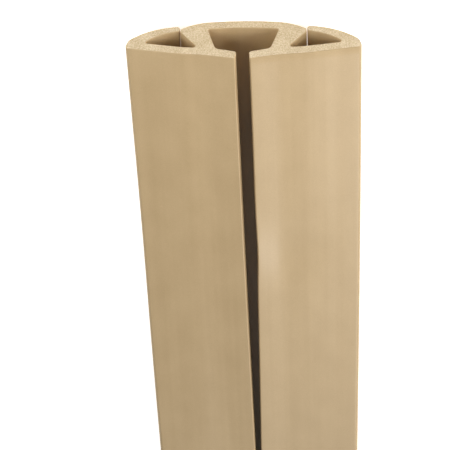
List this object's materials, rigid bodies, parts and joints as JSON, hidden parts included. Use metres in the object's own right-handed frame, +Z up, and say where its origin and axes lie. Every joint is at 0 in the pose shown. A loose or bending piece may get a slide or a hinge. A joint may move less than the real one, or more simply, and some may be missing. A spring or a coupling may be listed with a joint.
{
  "type": "floor cord cover",
  "caption": "Length of flexible vinyl floor cord cover with a domed back, a slit flat underside over a middle cord channel, and a slit side channel in each wing.",
  "frame": {"origin": "middle of the length, on the line where the domed back rests on the surface", "axes": "+X across the width, +Y along the length away from the sprung-open end, +Z up and out of the flat slit underside: the cover lies on its back, as when a cord is laid in, and is turned over for use"},
  "size_m": [0.066, 1.8288, 0.0163],
  "materials": {
    "flexible_vinyl": "matte beige flexible PVC, with faint lines along the extrusion and a slightly grainy cut end"
  },
  "bodies": {
    "root": {"cord_cover": "flexible_vinyl"}
  },
  "joints": []
}
